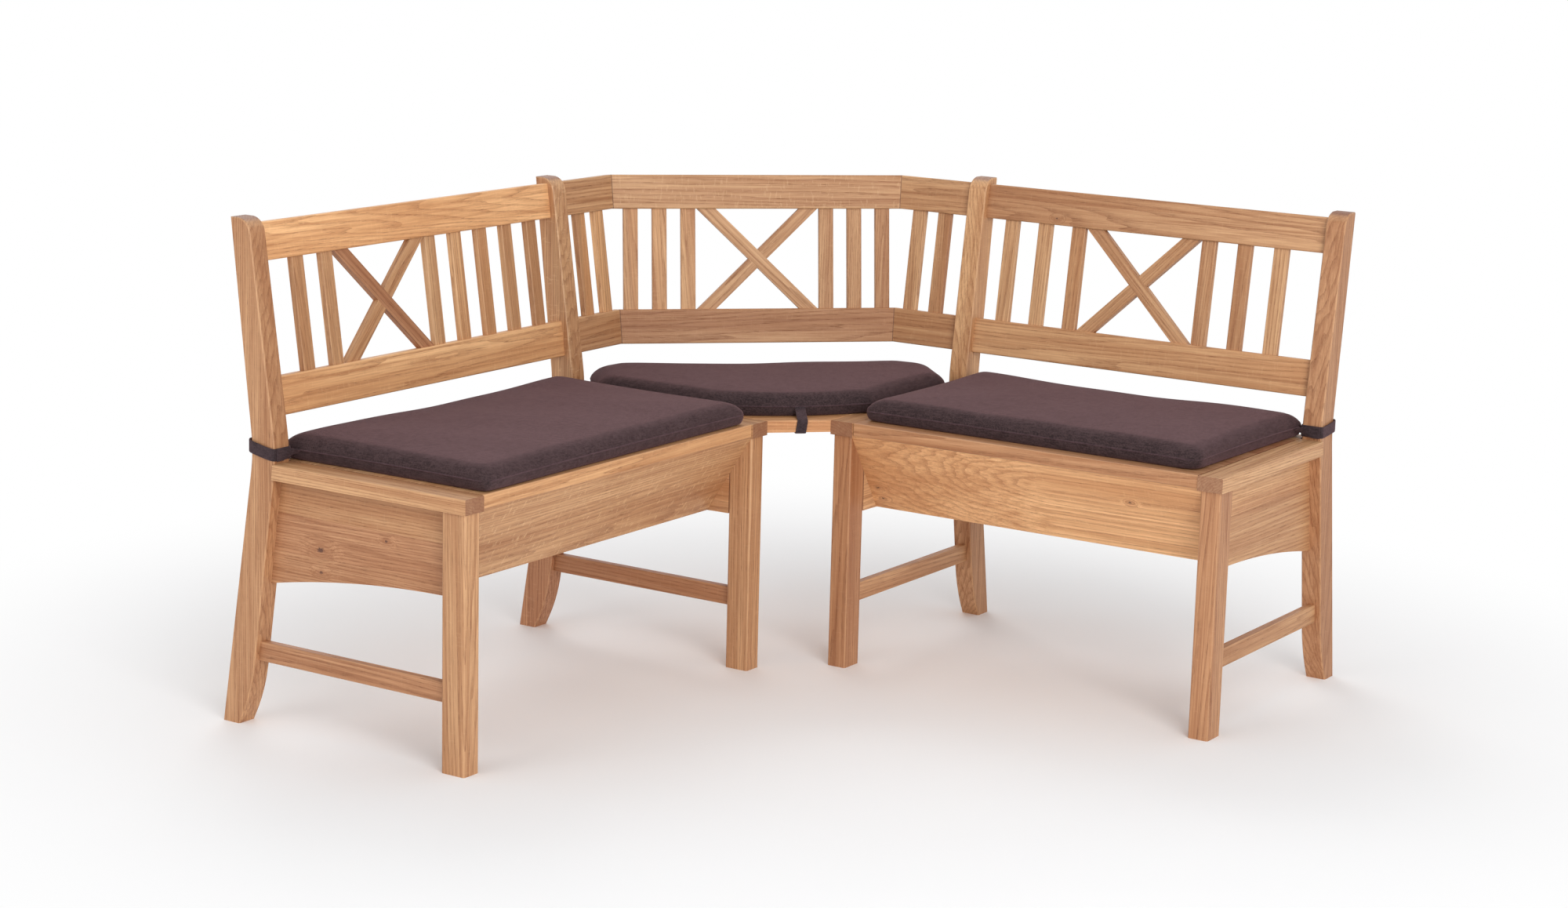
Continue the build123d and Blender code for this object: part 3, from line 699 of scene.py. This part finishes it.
def padded_form(outline, bottom, thick):
    """Closed pad: the outline is drawn in by an inset while the height follows the side and a low crown.

    Rows run from the middle of the underside out to the seam and back to the middle of the top. Below the
    seam the side is a quarter of an ellipse. Above it inset and height are powers of one share, so that the
    side leaves the seam at a slant and turns into a broad soft shoulder. The crown rises by a sine.
    """
    middle = (outline.min(0) + outline.max(0)) / 2
    half = (outline.max(0) - outline.min(0)) / 2
    reach = half.min() * 0.9
    tuck, shoulder, crown = 6 * MM, 36 * MM, 4 * MM
    under_rows, low_rows, high_rows, top_rows = 20, 9, 22, 24
    turn = np.linspace(0, math.pi / 2, low_rows)
    share = np.linspace(0, 1, high_rows)[1:]
    inset = np.concatenate((
        np.linspace(reach, tuck, under_rows)[:-1],
        tuck * (1 - np.sin(turn)),
        shoulder * share ** 1.12,
        np.linspace(shoulder, reach, top_rows)[1:],
    ))[:, None, None]
    height = np.concatenate((
        np.zeros(under_rows - 1),
        SEAM_HEIGHT * (1 - np.cos(turn)),
        SEAM_HEIGHT + (thick - SEAM_HEIGHT) * (1 - (1 - share) ** 2.6),
        thick + crown * np.sin(np.linspace(0, math.pi / 2, top_rows)[1:]),
    ))
    points = np.empty((len(height), len(outline), 3))
    points[..., :2] = middle + (outline - middle)[None] * (1 - inset / half)
    points[..., 2] = bottom + height[:, None]
    return points


def closed_rows(points):
    """Faces of a form whose rows are rings, with one face each to close the first and the last."""
    rows, columns = points.shape[:2]
    last = (rows - 1) * columns
    caps = [list(range(columns)), list(range(last, last + columns))]
    return grid_faces(rows, columns, wrap_columns=True) + caps


def inflate(piece):
    """Swells a pad as cloth under pressure: remesh, a few steps of simulation, each point's travel capped.

    The travel is then evened out by taking the mean over each point's neighbours, again and again.
    """
    remesh = piece.modifiers.new("even", "REMESH")
    remesh.mode = "VOXEL"
    remesh.voxel_size = SWELL_GRID
    bake_modifiers(piece)
    count = len(piece.data.vertices)
    start = np.empty(count * 3, np.float32)
    piece.data.vertices.foreach_get("co", start)
    start = start.reshape(-1, 3)
    fabric = piece.modifiers.new("fabric", "CLOTH")
    fabric.settings.use_pressure = True
    fabric.settings.uniform_pressure_force = SWELL_PRESSURE
    fabric.settings.effector_weights.gravity = 0
    fabric.settings.quality = 3
    scene = bpy.context.scene
    for step in range(1, SWELL_STEPS + 1):
        scene.frame_set(step)
    bake_modifiers(piece)
    scene.frame_set(1)
    moved = np.empty(count * 3, np.float32)
    piece.data.vertices.foreach_get("co", moved)
    travel = moved.reshape(-1, 3) - start
    far = np.maximum(np.linalg.norm(travel, axis=1, keepdims=True), 1e-9)
    travel = travel * np.minimum(1, SWELL / far)
    ends = np.empty(len(piece.data.edges) * 2, np.int32)
    piece.data.edges.foreach_get("vertices", ends)
    near, other = np.concatenate((ends.reshape(-1, 2), ends.reshape(-1, 2)[:, ::-1])).T
    neighbours = np.bincount(near, minlength=count)[:, None]
    for _ in range(SWELL_ROUNDS):
        total = [np.bincount(near, weights=values[other], minlength=count) for values in travel.T]
        travel = np.stack(total, -1) / neighbours
    return start + travel


def bake_modifiers(piece):
    """Replaces the mesh by what its modifiers make of it."""
    seen = piece.evaluated_get(bpy.context.evaluated_depsgraph_get())
    mesh = bpy.data.meshes.new_from_object(seen)
    piece.modifiers.clear()
    piece.data = mesh


def cushion(name, outline, settle, bodies):
    """Foam cushion with its sewn seam round the side.

    The pad is swollen, then its upper side is lowered or raised by settle, a function of the place, in full
    at the top and not at all at the underside. bodies is one body, which the pad and its seam are attached
    to, or two and a stretch, and then they are only left in the room's frame.
    """
    bottom = SEAT_TOP + CUSHION_GAP
    points = padded_form(outline, bottom + 0.5 * MM, CUSHION_THICK - SWELL)
    pad = new_piece(name, points, closed_rows(points), CLOTH)
    placed = inflate(pad)
    share = np.clip((placed[:, 2] - bottom) / CUSHION_THICK, 0, 1)
    placed[:, 2] = np.maximum(placed[:, 2] + settle(placed) * share ** 2, bottom)
    pad.data.vertices.foreach_set("co", placed.astype(np.float32).ravel())
    pad.data.polygons.foreach_set("use_smooth", np.ones(len(pad.data.polygons), bool))
    line = seam_line(pad, outline, bottom + SEAM_HEIGHT)
    seam = swept_tube(name + "_seam", line, SEAM_RADIUS, PAINTED_HIGHLIGHT_PIPING)
    for piece in (pad, seam):
        if len(bodies) == 1:
            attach(piece, bodies[0])
        else:
            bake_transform(piece)
    return pad, line


def seam_line(pad, outline, height):
    """Closed line round the pad: the pad's nearest place to each point of the outline, at one height."""
    tree = BVHTree.FromPolygons(
        [vertex.co for vertex in pad.data.vertices], [face.vertices for face in pad.data.polygons])
    middle = (outline.min(0) + outline.max(0)) / 2
    wide = np.column_stack((middle + (outline - middle) * 1.02, np.full(len(outline), height)))
    path = np.array([tree.find_nearest(Vector(point))[0] for point in wide])
    path[:, 2] = height
    return circular_smooth(path, 3)


def swept_tube(name, path, radius, material):
    """Ring profile carried round a closed path: centre plus radius times outward and up directions."""
    ahead = np.roll(path, -1, axis=0) - np.roll(path, 1, axis=0)
    ahead /= np.linalg.norm(ahead, axis=1, keepdims=True)
    outward = np.cross(ahead, (0, 0, 1))
    outward /= np.linalg.norm(outward, axis=1, keepdims=True)
    upward = np.cross(outward, ahead)
    angle = np.linspace(0, 2 * math.pi, SEAM_POINTS, endpoint=False)[None, :, None]
    points = path[:, None] + radius * (np.cos(angle) * outward[:, None] + np.sin(angle) * upward[:, None])
    faces = grid_faces(len(path), SEAM_POINTS, wrap_rows=True, wrap_columns=True)
    return new_piece(name, points, faces, material)


def hill(value, middle, spread):
    """Bell curve, one at its middle."""
    return np.exp(-((value - middle) / spread) ** 2)


CUSHION_REAR = 90 * MM
# Where a bench cushion starts and stops to bend, from the wall
BEND_START, BEND_STOP = 134 * MM, 182 * MM
# Corners in millimetres along the bench, below zero from its outer end, and from the wall
CUSHION_CORNERS = {
    "left": [(48, 526), (-50, 533), (-46, 90), (47, 90)],
    "right": [(46, 506), (-54, 512), (-46, 90), (47, 90)],
}


def bench_cushion(side):
    """Bench cushion: it reaches back between the posts over the hinge rail.

    Its rear edge sinks in the middle and stands a little higher towards the ends, by bell curves.
    """
    bench = BENCHES[side]
    length = bench.length
    corners = [(s * MM if s > 0 else length + s * MM, d * MM) for s, d in CUSHION_CORNERS[side]]
    plan = np.array([bench.world(s, d, 0)[:2] for s, d in corners])
    radii = np.array([14, 14 if side == "left" else 24, 16, 16]) * MM
    bows = np.array([-3, -3, -2, -3]) * MM
    if side == "left":
        plan, radii, bows = plan[::-1], radii[::-1], np.roll(bows[::-1], -1)
    outline = soft_outline(plan, radii, bows, OUTLINE_POINTS)

    def settle(points):
        s, d, _ = bench.place(points).T
        rear = hill(d, CUSHION_REAR, 80 * MM)
        sunk = -3 * MM * hill(s, 0.45 * length, 0.18) + 2.5 * MM * hill(s, 0.8 * length, 0.1)
        raised = 2.5 * MM * hill(s, 60 * MM, 70 * MM)
        waves = np.sin(21 * s + 2) * np.cos(15 * d + 9 * s)
        return (sunk + raised) * rear + 1.0 * MM * waves

    bend = [bench.world(length / 2, d, SEAT_TOP) for d in (BEND_START, BEND_STOP)]
    pad, _ = cushion(side + "_seat_cushion", outline, settle, ("frame", bench.lid, *bend))
    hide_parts(side + "_cushion")


def corner_cushion():
    """Corner cushion: rear edges along both walls, clipped beside the posts, and a bowed front.

    Its rear edge dips in the middle, by bell curves. The strap at its front starts on the seam.
    """
    corner = np.array(WALL_CORNER[:2])
    # From the left and the right wall in millimetres; the other half swaps the two
    half = [(644, 438), (644, 165), (566, 88), (505, 88)]
    run = half + [(q, p) for p, q in reversed(half)]
    plan = np.array([corner + (p * MM, -q * MM) for p, q in run])
    radii = np.array([16, 14, 14, 14, 14, 14, 14, 16]) * MM
    bows = np.array([-3, -0.5, -0.5, -3, -0.5, -0.5, -3, 17]) * MM
    outline = soft_outline(plan, radii, bows, OUTLINE_POINTS)

    def settle(points):
        away = points[:, :2] - corner
        along = away @ np.array(DIAGONAL[:2])
        deep = away @ np.array(CORNER_FORWARD[:2])
        dip = -4 * MM * hill(along, -10 * MM, 0.09) * hill(deep, 0.42, 0.09)
        return dip + 1.2 * MM * np.sin(19 * along + 1) * np.cos(14 * deep)

    pad, seam = cushion("corner_seat_cushion", outline, settle, ("frame",))
    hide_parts("corner_cushion")
    corner_strap(np.max((seam[:, :2] - corner) @ np.array(CORNER_FORWARD[:2])))


# Straps

STRAP_WIDTH = 21 * MM
CORNER_STRAP_WIDTH = 19.5 * MM
STRAP_THICK = 1.8 * MM
BAND_POINTS = 24


def flat_band(path, across, width, closed):
    """Points and faces of a flat band: an oblong with round edges, carried along a path.

    Each profile point is the path's point, plus half the width times a flattened cosine towards across,
    plus half the thickness times a flattened sine along the normal of path and across.
    """
    steps = np.roll(path, -1, axis=0) - np.roll(path, 1, axis=0) if closed else np.gradient(path, axis=0)
    ahead = steps / np.linalg.norm(steps, axis=1, keepdims=True)
    across = across - ahead * np.sum(across * ahead, axis=1, keepdims=True)
    across = across / np.linalg.norm(across, axis=1, keepdims=True)
    normal = np.cross(ahead, across)
    angle = np.linspace(0, 2 * math.pi, BAND_POINTS, endpoint=False) + math.pi / BAND_POINTS
    wide = np.sign(np.cos(angle)) * np.abs(np.cos(angle)) ** 0.3
    high = np.sign(np.sin(angle)) * np.abs(np.sin(angle)) ** 0.7
    half = (np.broadcast_to(width, len(path)) / 2)[:, None, None]
    points = path[:, None] + half * wide[:, None] * across[:, None]
    points = points + STRAP_THICK / 2 * high[:, None] * normal[:, None]
    faces = grid_faces(len(path), BAND_POINTS, wrap_rows=closed, wrap_columns=True)
    if not closed:
        last = (len(path) - 1) * BAND_POINTS
        faces += [list(range(BAND_POINTS)), list(range(last, last + BAND_POINTS))]
    return points.reshape(-1, 3), faces


def joined(parts):
    """One set of points and faces from several."""
    points, faces, count = [], [], 0
    for part_points, part_faces in parts:
        points.append(part_points)
        faces += [[index + count for index in face] for face in part_faces]
        count += len(part_points)
    return np.concatenate(points), faces


def open_smooth(points, spread):
    """Smooths an open run of points by a bell curve, its ends held by mirrored points."""
    count = int(4 * spread)
    before = 2 * points[0] - points[count:0:-1]
    after = 2 * points[-1] - points[-2:-count - 2:-1]
    bell = np.exp(-0.5 * (np.arange(-count, count + 1) / spread) ** 2)
    padded = np.concatenate((before, points, after))
    return np.stack([np.convolve(values, bell / bell.sum(), "valid") for values in padded.T], -1)


STRAP_HEIGHT = 478 * MM
STRAP_RISE = {"left": 10 * MM, "right": 6 * MM}
# Outer rear post where its strap goes round it: width along the bench, front and rear from the wall
POST_WIDTH = 38 * MM
POST_FRONT, POST_REAR = 122.4 * MM, 71.7 * MM


def post_strap(side):
    """Strap of a bench cushion: a slack band round the outer rear post, and its sewn end.

    The band is a rounded oblong round the post that stands off at the wall side and rises towards it by a
    power of the way back. The sewn end leaves the band on the post's front, turns on edge and narrows on
    its way to the seam of the cushion's end.
    """
    bench = BENCHES[side]
    inner, outer = bench.length - POST_WIDTH, bench.length
    gap = 1.6 * MM
    corners = [
        (inner - gap, POST_FRONT + gap),
        (outer + gap, POST_FRONT + gap),
        (outer + 4.5 * MM, POST_REAR - 6.5 * MM),
        (inner - gap, POST_REAR - 3 * MM),
    ]
    s, d = soft_outline(corners, np.array([5, 5, 13, 7]) * MM, [0, 0, 0.8 * MM, 0], 200).T
    rise = np.clip((POST_FRONT - d) / (POST_FRONT - POST_REAR), 0, 1.2)
    loop = bench.world(s, d, STRAP_HEIGHT + STRAP_RISE[side] * rise ** 1.3)
    upright = np.broadcast_to((0.0, 0.0, 1.0), loop.shape)
    band = flat_band(loop, upright, STRAP_WIDTH, True)

    # Along the bench from its outer end, from the wall and above the floor, in millimetres
    route = np.array([
        (-2, 127.2, 477.5),
        (-16, 127.4, 477.5),
        (-28, 129, 478.5),
        (-37, 133, 480.5),
        (-43, 140, 482),
    ])
    route = open_smooth(even_steps(route, 60, closed=False), 4) * MM
    end = bench.world(bench.length + route[:, 0], route[:, 1], route[:, 2])
    share = np.clip((-16 * MM - route[:, 0]) / (27 * MM), 0, 1)
    twist = math.radians(62) * share ** 1.5
    lean = np.cos(twist)[:, None] * np.array((0, 0, 1.0))
    lean = lean + np.sin(twist)[:, None] * np.array(bench.forward)
    tail = flat_band(end, lean, STRAP_WIDTH * (1 - 0.5 * share), False)
    strap = new_piece(side + "_post_strap", *joined((band, tail)), STRAP)
    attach(strap, "frame")
    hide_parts(side + "_cushion_strap")


def corner_strap(front):
    """Strap of the corner cushion: a band from the front seam, round the seat board's edge and under it.

    Its path is a smoothed run of points, given by their way forward from the walls' corner and by height.
    """
    board = 814.6 * MM
    route = np.array([
        (front - 0.5 * MM, SEAT_TOP + SEAM_HEIGHT + 1 * MM),
        (front + 2.5 * MM, SEAT_TOP + 14 * MM),
        (board - 5 * MM, SEAT_TOP + 2.2 * MM),
        (board + 1.8 * MM, SEAT_TOP - 1 * MM),
        (board + 1.8 * MM, SEAT_TOP - 23 * MM),
        (board - 2 * MM, SEAT_TOP - 24 * MM),
        (board - 31 * MM, SEAT_TOP - 23.6 * MM),
    ])
    route = open_smooth(even_steps(route, 110, closed=False), 1.8)
    aside = np.interp(route[:, 1], (SEAT_TOP - 24 * MM, SEAT_TOP + 18 * MM), (3 * MM, 9 * MM))
    path = np.array(WALL_CORNER) + route[:, :1] * np.array(CORNER_FORWARD)
    path = path + aside[:, None] * np.array(DIAGONAL)
    path[:, 2] = route[:, 1]
    across = np.broadcast_to(np.array(DIAGONAL), path.shape)
    strap = new_piece("corner_front_strap", *flat_band(path, across, CORNER_STRAP_WIDTH, False), STRAP)
    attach(strap, "frame")
    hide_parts("corner_cushion_strap")


# Studio

def seen_directly(f):
    """One for what the camera sees directly, in gloss or through glass."""
    seen = f.node("LightPath").outputs
    plain = f.math("MAXIMUM", seen["Is Camera Ray"], seen["Is Glossy Ray"])
    return f.math("MAXIMUM", plain, seen["Is Transmission Ray"])


FLOOR_REACH = 40.0
# Distances from the middle between which the floor turns white
FLOOR_FADE = (0.75, 1.9)
SKY_LIGHT = 0.62
LAMP_AIM = Vector((0, 0, 0.4))
# Name, place, size and power of each lamp
LAMPS = (
    ("key", (4.4, -3.4, 3.0), 3.0, 150),
    ("fill", (-1.6, -5.4, 2.2), 3.0, 44),
    ("low", (3.4, -2.4, 0.9), 1.6, 20),
    ("rear", (-3.0, 3.0, 4.0), 2.5, 50),
)


def studio():
    """Pale floor that turns white away from the bench, soft sky, lamps and the photograph's camera."""
    material, f, shader = new_material("studio_floor")
    place = f.node("TexCoord").outputs["Object"]
    shade = f.noise(place, 3, 2).outputs["Fac"]
    pale = f.mix(shade, colour(249, 249, 249), colour(252, 252, 252))
    f.tree.links.new(pale, shader.inputs["Base Color"])
    shader.inputs["Roughness"].default_value = 0.9
    far = f.ramp(f.vector("LENGTH", place), *FLOOR_FADE)
    white = f.node("Emission", {"Strength": 1.0})
    share = f.math("MULTIPLY", far, seen_directly(f))
    mixed = f.node("MixShader", {0: share, 1: shader.outputs[0], 2: white.outputs[0]})
    f.tree.links.new(mixed.outputs[0], f.tree.nodes["Material Output"].inputs["Surface"])
    square = np.array([(-1, -1, 0), (1, -1, 0), (1, 1, 0), (-1, 1, 0)])
    floor = new_piece("studio_floor", square * FLOOR_REACH, [(0, 1, 2, 3)], material)

    world = bpy.data.worlds.new("studio_sky")
    bpy.context.scene.world = world
    world.use_nodes = True
    f = Finish(world.node_tree)
    world.node_tree.nodes.clear()
    strength = f.ramp(seen_directly(f), 0.0, 1.0, SKY_LIGHT, 1.0)
    sky = f.node("Background", {"Color": (0.97, 0.98, 1, 1), "Strength": strength})
    f.node("OutputWorld", {"Surface": sky.outputs[0]})

    for name, place, size, power in LAMPS:
        lamp = bpy.data.lights.new(name, "AREA")
        lamp.energy = power
        lamp.size = size
        holder = bpy.data.objects.new(name, lamp)
        holder.location = place
        aim = LAMP_AIM - Vector(place)
        holder.rotation_euler = aim.to_track_quat("-Z", "Y").to_euler()
        bpy.context.scene.collection.objects.link(holder)

    lens = bpy.data.cameras.new("photo_camera")
    lens.lens = CAMERA_LENS
    lens.sensor_width = 36.0
    lens.clip_end = 200.0
    camera = bpy.data.objects.new("photo_camera", lens)
    right, down, ahead = (Vector(axis) for axis in (CAMERA_RIGHT, CAMERA_DOWN, CAMERA_FORWARD))
    turn = Matrix((right, -down, -ahead)).transposed()
    camera.matrix_world = Matrix.Translation(CAMERA_PLACE) @ turn.to_4x4()
    bpy.context.scene.collection.objects.link(camera)
    bpy.context.scene.camera = camera
    bpy.context.scene.view_settings.view_transform = "Standard"


CLOTH = cloth("cushion_cloth", colour(34, 25, 26), colour(68, 53, 54), 1.1 * MM)
# the seam's cloth is lighter than the cushion's: a painted highlight along the seam's ridge
PAINTED_HIGHLIGHT_PIPING = cloth("seam_cloth", colour(52, 39, 42), colour(78, 60, 64), 0.7 * MM)
STRAP = cloth("strap_cloth", colour(38, 30, 32), colour(66, 54, 57), 0.8 * MM)

dress_oak()
steel = hinge_steel()
for name in ("hinge_fixed_leaves", "left_hinge_lid_leaves", "right_hinge_lid_leaves"):
    set_material(frame["nodes"][name], steel)
for side in BENCHES:
    bench_cushion(side)
    post_strap(side)
corner_cushion()
studio()
